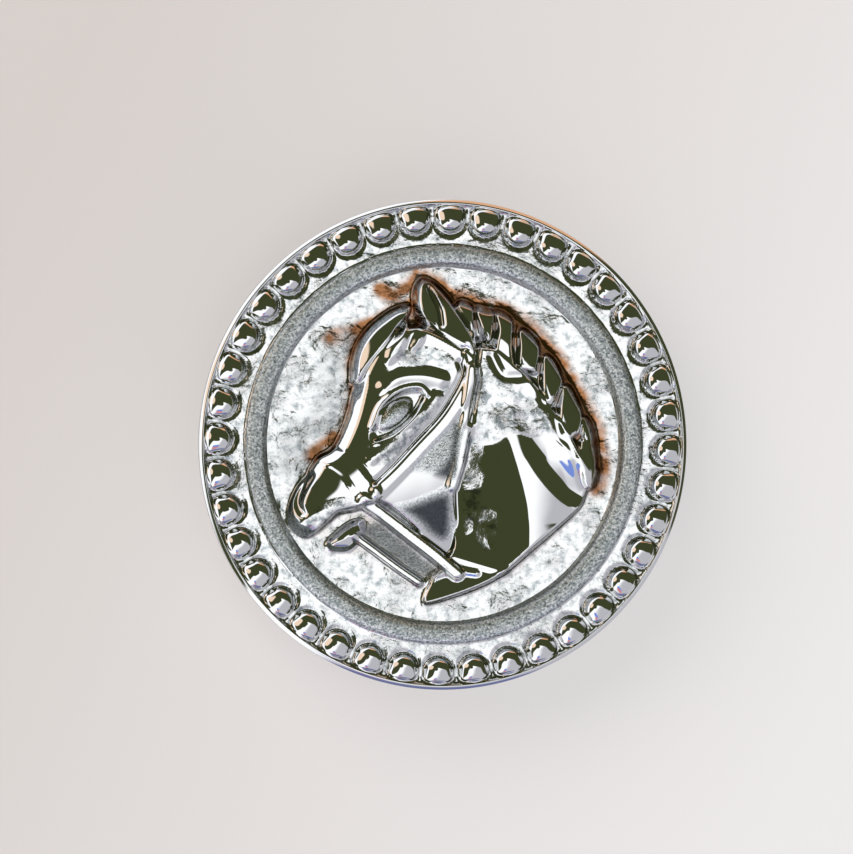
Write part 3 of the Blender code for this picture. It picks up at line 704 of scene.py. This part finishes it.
def border_height(radius, angle):
    """The mouldings' height above the disc's back edge.

    The ring is the root of 1 less the fifth power of the share across it, with a fine line cut along
    it. A bead is a power of 1 less its measure squared, and it falls off outwards. From its moat a
    smooth step climbs to the bars and the band. The rim is a roll that drops on both sides."""
    on_ring = np.clip((RING_OUTER - radius) / RING_WIDTH, 0, 1)
    foot = BAND_HEIGHT + (FIELD_HEIGHT - BAND_HEIGHT) * on_ring
    arch = np.sqrt(np.clip(1 - np.abs(2 * on_ring - 1) ** RING_SQUARENESS, 0, 1))
    ring = foot + (RING_CREST - foot) * arch
    ring -= RING_LINE_DEPTH * np.exp(-((on_ring - RING_LINE_PLACE) * RING_WIDTH / RING_LINE_WIDTH) ** 2)
    measure = bead_measure(radius, angle)
    outwards = np.clip((radius - BEAD_INNER) / BEAD_LENGTH, 0, 1)
    crest = (BEAD_CREST - BEAD_FLOOR) * (1 - BEAD_FALL * outwards ** BEAD_FALL_POWER)
    dome = BEAD_FLOOR + crest * np.clip(1 - measure ** 2, 0, 1) ** DOME_POWER
    inner_share = np.clip(2 * (BEAD_INNER - radius) / BEAD_LENGTH + 1, 0, 1)
    moat_edge = np.clip((measure - 1) / (SIDE_MOAT + (END_MOAT - SIDE_MOAT) * inner_share), 0, 1)
    bars = BEAD_FLOOR + (BAND_HEIGHT - BEAD_FLOOR) * moat_edge ** 2 * (3 - 2 * moat_edge)
    height = np.where(measure < 1, dome, bars)
    height = np.where(radius < RING_OUTER, ring, height)
    roll = np.clip((radius - BEAD_OUTER) / RIM_WIDTH, 0, 1)
    rim = RIM_HEIGHT - ROLL_INNER_DROP * np.clip(1 - roll / ROLL_CREST, 0, 1) ** 2
    rim -= ROLL_OUTER_DROP * np.clip((roll - ROLL_CREST) / (1 - ROLL_CREST), 0, 1) ** 1.1
    return np.where(radius >= BEAD_OUTER, rim, height)


ring_quarter = np.array([RING_OUTER - RING_WIDTH / 4])
print("ring's height, mm:", round(float(border_height(ring_quarter, np.zeros(1))[0] / MM), 2))

# %% [markdown]
# ## One skin for the whole casting
# The face, edge and back are one closed mesh. The field is a square grid drawn out to a circle, so
# no vertex is a crowded pole. Its outermost vertices are the first row of a turned border, whose
# rows run out over the mouldings, down the edge, under the back and into the shallow recess.

# %% The field's grid
COLUMNS_PER_BEAD = 23
COLUMNS = BEAD_COUNT * COLUMNS_PER_BEAD
SIDE = COLUMNS // 4
LEVEL_EDGE = 0.02

steps = np.linspace(-1, 1, SIDE + 1)
across, up = np.meshgrid(steps, steps)
ring = np.maximum(np.abs(across), np.abs(up))
sideways = np.abs(across) >= np.abs(up)
longer = np.where(sideways, across, up)
slant = math.pi / 4 * np.where(sideways, up, across) / np.where(longer == 0, 1, longer)
turn = np.where(sideways, slant + math.pi * (across < 0), math.pi / 2 - slant + math.pi * (up < 0))
turn += FIRST_GAP_ANGLE
field_x = ring * FIELD_RADIUS * np.cos(turn)
field_y = ring * FIELD_RADIUS * np.sin(turn)
to_edge = np.clip((1 - ring) / LEVEL_EDGE, 0, 1)
field_z = FIELD_HEIGHT + from_raster(relief, field_x, field_y) * to_edge
field_points = np.stack([field_x, field_y, field_z], axis=-1).reshape(-1, 3)
print("field:", len(field_points), "points")

# %% The border's rows
RING_ROWS = 10
BAND_ROWS = 5
BEAD_ROWS = 20
RIM_ROWS = 7
MOAT_START = BEAD_INNER - 0.25 * MM
RECESS_RADIUS = 19.0 * MM
RECESS_DEPTH = 0.5 * MM
EDGE_PROFILE = [(0.0, 1.1 * MM), (0.0, 0.2 * MM), (0.06 * MM, 0.06 * MM), (0.2 * MM, 0.0)]
RECESS_PROFILE = [
    (-0.1 * MM, 0.0),
    (0.0, 0.08 * MM),
    (0.06 * MM, 0.42 * MM),
    (0.18 * MM, RECESS_DEPTH),
    (0.6 * MM, RECESS_DEPTH),
]

ring_rows = RING_OUTER - RING_WIDTH * (0.5 + 0.5 * np.cos(math.pi * np.linspace(0, 1, RING_ROWS)))[1:]
band_rows = np.linspace(RING_OUTER, MOAT_START, BAND_ROWS)[1:]
bead_rows = np.linspace(MOAT_START, BEAD_OUTER, BEAD_ROWS)[1:]
rim_rows = BEAD_OUTER + RIM_WIDTH * (0.5 - 0.5 * np.cos(math.pi * np.linspace(0, 1, RIM_ROWS)))[1:]
top_rows = np.concatenate([ring_rows, band_rows, bead_rows, rim_rows])
column_angles = -math.pi / 4 + 2 * math.pi * np.arange(COLUMNS) / COLUMNS + FIRST_GAP_ANGLE
row_radius, row_angle = np.meshgrid(top_rows, column_angles, indexing="ij")
row_height = border_height(row_radius, row_angle)
top_points = np.stack([row_radius * np.cos(row_angle), row_radius * np.sin(row_angle), row_height], axis=-1)
under = [(DISC_RADIUS - inset, height) for inset, height in EDGE_PROFILE]
under += [(RECESS_RADIUS - inset, height) for inset, height in RECESS_PROFILE]
under = np.array(under)
turned = np.stack([np.cos(column_angles), np.sin(column_angles)], axis=-1)
under_points = np.concatenate(
    [under[:, None, :1] * turned[None], np.repeat(under[:, None, 1:], COLUMNS, axis=1)], axis=-1
)
centre = np.array([[0, 0, RECESS_DEPTH]])
print("border:", len(top_rows), "rows over the face and", len(under), "below")

# %% Faces, joined into one closed skin
number = np.arange((SIDE + 1) ** 2).reshape(SIDE + 1, SIDE + 1)
field_faces = np.stack([number[:-1, :-1], number[:-1, 1:], number[1:, 1:], number[1:, :-1]], axis=-1)
field_faces = field_faces.reshape(-1, 4)
perimeter = np.concatenate([number[:-1, -1], number[-1, :0:-1], number[:0:-1, 0], number[0, :-1]])
row_count = len(top_rows) + len(under)
rows = len(field_points) + np.arange(row_count * COLUMNS).reshape(row_count, COLUMNS)
rows = np.concatenate([perimeter[None], rows])
beside = np.roll(rows, -1, axis=1)
border_faces = np.stack([rows[:-1], rows[1:], beside[1:], beside[:-1]], axis=-1).reshape(-1, 4)
points = np.concatenate([field_points, top_points.reshape(-1, 3), under_points.reshape(-1, 3), centre])
points[:, 2] += DISC_BASE
middle = np.full(COLUMNS, len(points) - 1)
cap_faces = np.stack([rows[-1], middle, beside[-1]], axis=-1)

skin = bpy.data.meshes.new("rosette_casting")
skin.from_pydata(points.tolist(), [], field_faces.tolist() + border_faces.tolist() + cap_faces.tolist())
skin.shade_smooth()
skin.update()
casting = bpy.data.objects.new("rosette_casting", skin)
bpy.context.collection.objects.link(casting)
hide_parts("rosette")
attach(casting, "root")
print("triangles:", 2 * (len(field_faces) + len(border_faces)) + len(cap_faces))


# %% Where the skin is matt, satin or dark
FACE_FLOOR = FIELD_HEIGHT - 0.2 * MM
BEAD_EDGE = 1.02
MOAT_EDGE = 1.1
BACK_SKIN = 0.35
MATT_SHARE = 0.65
PITTED_SHARE = 1.6
PATCH_SHOULDER = 5
SHADE_SHOULDER = 6
HOLLOW_SHADE = 0.95
REINS_BED_SHADE = 0.4
MOAT_SHADE = 0.5


def add_shares(mesh, name, values):
    """Write one number per vertex for a finish to read."""
    mesh.attributes.new(name, "FLOAT", "POINT").data.foreach_set("value", values.astype(np.float32).ravel())


radius = np.hypot(points[:, 0], points[:, 1])
height = points[:, 2] - DISC_BASE
angle = np.arctan2(points[:, 1], points[:, 0])
on_face = height > FACE_FLOOR
in_field = on_face & (radius < FIELD_RADIUS)
safe_x = np.where(in_field, points[:, 0], 0)
safe_y = np.where(in_field, points[:, 1], 0)
drawn_x, drawn_y = safe_x * percent, safe_y * percent
measure = bead_measure(radius, angle)
between_beads = on_face & (radius > RING_OUTER) & (radius < BEAD_OUTER) & (measure > BEAD_EDGE)
cast_skin = np.where(in_field, from_raster(ground, safe_x, safe_y), 0)
cast_skin = np.where(between_beads, 1.0, cast_skin)
cast_skin = np.where(on_face, cast_skin, BACK_SKIN)
satin = (on_face & (radius >= FIELD_RADIUS) & (radius < RING_OUTER)).astype(float)
for patch in MATT_PATCHES:
    satin += in_field * MATT_SHARE * rounded_inside(drawn_x, drawn_y, patch, PATCH_SHOULDER)
for patch in PITTED_PATCHES:
    pitted = PITTED_SHARE * in_field * rounded_inside(drawn_x, drawn_y, patch, PATCH_SHOULDER)
    cast_skin = np.maximum(cast_skin, pitted)
# The painted brown reflection at each vertex.
brown_painted = np.where(in_field, from_raster(painted_brown_reflection, safe_x, safe_y), 0)
# Painted shade at each vertex: creases, the jowl's and strap's hollows and the bed between the reins are
# darkened.
painted_shade = np.where(in_field, from_raster(shade_raster, safe_x, safe_y), 0)
for patch in SHADED_HOLLOWS:
    hollow_shade = in_field * HOLLOW_SHADE * rounded_inside(drawn_x, drawn_y, patch, SHADE_SHOULDER)
    painted_shade = np.maximum(painted_shade, hollow_shade)
reins_bed = rounded_inside(drawn_x, drawn_y, BETWEEN_REINS, SHADE_SHOULDER)
painted_shade = np.maximum(painted_shade, in_field * REINS_BED_SHADE * reins_bed)
# The moats between the beads are darkened with painted shade.
painted_shade = np.where(between_beads & (measure < MOAT_EDGE), MOAT_SHADE, painted_shade)
for name, values in (("cast_skin", cast_skin), ("satin", satin), ("painted_brown_reflection", brown_painted), ("painted_shade", painted_shade)):
    add_shares(skin, name, values)
    print(name, "mean share:", round(float(values.mean()), 3))

# %% [markdown]
# ## The braze
# The strap loop's two feet are brazed to the recess in the back. The filler metal runs out in a
# small hollow fillet round each foot and was plated with the rest. Each fillet is a stack of
# rounded rectangles that grow towards the casting.

# %% A fillet of filler metal round each foot
FOOT_INNER = 12.8 * MM
FOOT_OUTER = 17.0 * MM
FOOT_HALF_WIDTH = 5.0 * MM
FILLET_RUN = 0.85 * MM
FILLET_CLIMB = 1.0 * MM
INTO_FOOT = 0.02 * MM
INTO_RECESS = 0.03 * MM
CORNER_POINTS = 9
FILLET_ROWS = 8
BRAZE_SKIN = 0.5

recess_floor = DISC_BASE + RECESS_DEPTH
quarter = np.linspace(0, math.pi / 2, CORNER_POINTS)
corner_turns = np.concatenate([quarter + start * math.pi / 2 for start in range(4)])
corner_signs = np.repeat([(1, 1), (-1, 1), (-1, -1), (1, -1)], CORNER_POINTS, axis=0)
fallen = np.linspace(0, 1, FILLET_ROWS)
spread = FILLET_RUN * (1 - np.sqrt(1 - (1 - fallen) ** 2)) - INTO_FOOT
row_heights = recess_floor + INTO_RECESS - FILLET_CLIMB * fallen
half_sides = np.array([(FOOT_OUTER - FOOT_INNER) / 2, FOOT_HALF_WIDTH])
loops = np.stack([np.cos(corner_turns), np.sin(corner_turns)], axis=-1)[None] * spread[:, None, None]
loops = loops + (half_sides * corner_signs)[None]
loops = np.concatenate([loops, np.repeat(row_heights[:, None, None], len(corner_turns), axis=1)], axis=-1)
loop_count = len(corner_turns)
numbers = np.arange(FILLET_ROWS * loop_count).reshape(FILLET_ROWS, loop_count)
next_numbers = np.roll(numbers, -1, axis=1)
sides = np.stack([numbers[:-1], numbers[1:], next_numbers[1:], next_numbers[:-1]], axis=-1)
sides = sides.reshape(-1, 4)
for name, side in (("left", -1), ("right", 1)):
    placed = loops.reshape(-1, 3) + [side * (FOOT_INNER + FOOT_OUTER) / 2, 0, 0]
    braze = bpy.data.meshes.new("braze_" + name)
    braze.from_pydata(placed.tolist(), [], sides.tolist() + [numbers[0].tolist(), numbers[-1, ::-1].tolist()])
    braze.shade_smooth()
    add_shares(braze, "cast_skin", np.full(len(placed), BRAZE_SKIN))
    fillet_piece = bpy.data.objects.new("braze_" + name, braze)
    bpy.context.collection.objects.link(fillet_piece)
    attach(fillet_piece, "root")
print("braze fillets:", FILLET_ROWS * loop_count, "points each")

# %% [markdown]
# ## The plate's finish
# Bright chromium plate follows whatever lies under it. On the high places, which a mop reached
# before plating, it is a mirror. On the ground and between the beads the pebbled skin of the
# casting shows through, as a broken sparkle. The ring was left satin. Its grit is really finer than
# this view can show, so it is drawn a few times too coarse, and its sparkle is partly painted into
# the colour. Creases, hollows, the moats and the bed between the reins get painted shade, a painted
# shadow lies left of the face, and round the upper edge of the figure, in the mane and by the
# forelock lies a painted brown reflection.

# %% Material: chromium plate over a casting
PEBBLE_SIZE = 0.5
PEBBLE_DEPTH = 0.07 * MM
GRIT_SIZE = 0.2
GRIT_DEPTH = 0.09 * MM
PATCH_SIZE = 2.6
HAZE_SIZE = 0.8
MIRROR_ROUGHNESS = 0.045
PEBBLE_ROUGHNESS = 0.2
SATIN_ROUGHNESS = 0.4

plate = bpy.data.materials.new("chromium_plate_on_casting")
plate.use_nodes = True
tree = plate.node_tree
shader = tree.nodes["Principled BSDF"]
shader.inputs["Metallic"].default_value = 1.0
place = put(tree, "ShaderNodeTexCoord").outputs["Object"]
cast_share = put(tree, "ShaderNodeAttribute", attribute_name="cast_skin").outputs["Fac"]
satin_share = put(tree, "ShaderNodeAttribute", attribute_name="satin").outputs["Fac"]
brown_share = put(tree, "ShaderNodeAttribute", attribute_name="painted_brown_reflection").outputs["Fac"]
shade_share = put(tree, "ShaderNodeAttribute", attribute_name="painted_shade").outputs["Fac"]
pebbles = put(
    tree, "ShaderNodeTexNoise",
    {"Vector": place, "Scale": grains(PEBBLE_SIZE), "Detail": 2.0, "Roughness": 0.5},
).outputs["Fac"]
grit = put(
    tree, "ShaderNodeTexNoise",
    {"Vector": place, "Scale": grains(GRIT_SIZE), "Detail": 2.0, "Roughness": 0.7},
).outputs["Fac"]
patches = put(
    tree, "ShaderNodeTexNoise", {"Vector": place, "Scale": grains(PATCH_SIZE), "Detail": 2.0}
).outputs["Fac"]
patch_share = put(
    tree, "ShaderNodeMapRange", {"Value": patches, "From Min": 0.38, "From Max": 0.62}
).outputs[0]
pebble_share = put(tree, "ShaderNodeMath", {0: cast_share, 1: patch_share}, operation="MULTIPLY").outputs[0]
pebble_height = put(tree, "ShaderNodeMath", {0: pebbles, 1: pebble_share}, operation="MULTIPLY").outputs[0]
grit_height = put(tree, "ShaderNodeMath", {0: grit, 1: satin_share}, operation="MULTIPLY").outputs[0]
pebble_bump = put(tree, "ShaderNodeBump", {"Distance": PEBBLE_DEPTH, "Height": pebble_height}).outputs[0]
grit_bump = put(
    tree, "ShaderNodeBump", {"Distance": GRIT_DEPTH, "Height": grit_height, "Normal": pebble_bump}
).outputs[0]
tree.links.new(grit_bump, shader.inputs["Normal"])
cast_rough = put(
    tree, "ShaderNodeMath",
    {0: pebble_share, 1: PEBBLE_ROUGHNESS, 2: MIRROR_ROUGHNESS},
    operation="MULTIPLY_ADD",
).outputs[0]
rough = put(
    tree, "ShaderNodeMath", {0: satin_share, 1: SATIN_ROUGHNESS, 2: cast_rough}, operation="MULTIPLY_ADD"
).outputs[0]
tree.links.new(rough, shader.inputs["Roughness"])
print("pebbles, mm:", PEBBLE_SIZE, " grit, mm:", GRIT_SIZE)

# %% The plate's colour: haze, satin grain with painted sparkle, painted shade and painted brown reflection
haze = put(
    tree, "ShaderNodeTexNoise",
    {"Vector": place, "Scale": grains(HAZE_SIZE), "Detail": 4.0, "Roughness": 0.65},
).outputs["Fac"]
haze_share = put(
    tree, "ShaderNodeMapRange", {"Value": haze, "From Min": 0.47, "From Max": 0.68}
).outputs[0]
hazy_cast = put(tree, "ShaderNodeMath", {0: haze_share, 1: cast_share}, operation="MULTIPLY").outputs[0]
hazy = put(
    tree, "ShaderNodeMix", {0: hazy_cast, 6: linear("CBCDCE"), 7: linear("868E91")}, data_type="RGBA"
).outputs[2]
# Partly real grain, partly painted sparkle: the satin grit is coloured from dark grey to near white, so its
# grains glint in the colour.
grain_and_painted_sparkle = put(tree, "ShaderNodeValToRGB", {"Fac": grit})
grain_and_painted_sparkle.color_ramp.elements[0].position = 0.32
grain_and_painted_sparkle.color_ramp.elements[0].color = linear("6A7375")
grain_and_painted_sparkle.color_ramp.elements[1].position = 0.66
grain_and_painted_sparkle.color_ramp.elements[1].color = linear("FAFDFD")
grain_and_painted_sparkle.color_ramp.elements.new(0.5).color = linear("BFC8CB")
metal = put(
    tree, "ShaderNodeMix", {0: satin_share, 6: hazy, 7: grain_and_painted_sparkle.outputs[0]}, data_type="RGBA"
).outputs[2]
# Painted shade: the metal's colour is mixed towards dark grey by the shade attribute.
shaded_metal = put(
    tree, "ShaderNodeMix", {0: shade_share, 6: metal, 7: linear("30343A")}, data_type="RGBA"
).outputs[2]
# Painted brown reflection: a ramp from white to brown that multiplies the colour.
brown_tint = put(tree, "ShaderNodeValToRGB", {"Fac": brown_share})
brown_tint.color_ramp.elements[0].color = linear("FFFFFF")
brown_tint.color_ramp.elements[1].color = linear("6E4630")
brown_tint.color_ramp.elements.new(0.5).color = linear("B98157")
colour = put(
    tree, "ShaderNodeMix", {0: 1.0, 6: shaded_metal, 7: brown_tint.outputs[0]}, data_type="RGBA", blend_type="MULTIPLY"
).outputs[2]
tree.links.new(colour, shader.inputs["Base Color"])
for mesh in (skin, bpy.data.meshes["braze_left"], bpy.data.meshes["braze_right"]):
    mesh.materials.append(plate)
print("nodes in the casting's finish:", len(tree.nodes))

# %% [markdown]
# ## The strap loop
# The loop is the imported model's own solid: a flat strip bent to a hat shape. Rolled strip keeps
# fine lines along its length under the plate, and it was plated without mopping, so it is a softer
# mirror than the face. The lines are drawn coarser than they are, so that they show.

# %% Material: chromium plate over rolled strip
LINE_SIZE = 0.2
LINE_DEPTH = 0.01 * MM
LINE_STRETCH = (0.04, 1.0, 0.3)
LINE_ROUGHNESS = 0.2
STRIP_ROUGHNESS = 0.1

strip_plate = bpy.data.materials.new("chromium_plate_on_rolled_strip")
strip_plate.use_nodes = True
tree = strip_plate.node_tree
shader = tree.nodes["Principled BSDF"]
shader.inputs["Metallic"].default_value = 1.0
shader.inputs["Base Color"].default_value = linear("BFC0C0")
place = put(tree, "ShaderNodeTexCoord").outputs["Object"]
along = put(tree, "ShaderNodeMapping", {"Vector": place, "Scale": LINE_STRETCH}).outputs[0]
lines = put(
    tree, "ShaderNodeTexNoise", {"Vector": along, "Scale": grains(LINE_SIZE), "Detail": 2.0}
).outputs["Fac"]
line_bump = put(tree, "ShaderNodeBump", {"Distance": LINE_DEPTH, "Height": lines}).outputs[0]
tree.links.new(line_bump, shader.inputs["Normal"])
rough = put(
    tree, "ShaderNodeMath", {0: lines, 1: LINE_ROUGHNESS, 2: STRIP_ROUGHNESS}, operation="MULTIPLY_ADD"
).outputs[0]
tree.links.new(rough, shader.inputs["Roughness"])
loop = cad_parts["strap_loop"]
loop.data.materials.clear()
loop.data.materials.append(strip_plate)
print("nodes in the loop's finish:", len(tree.nodes))
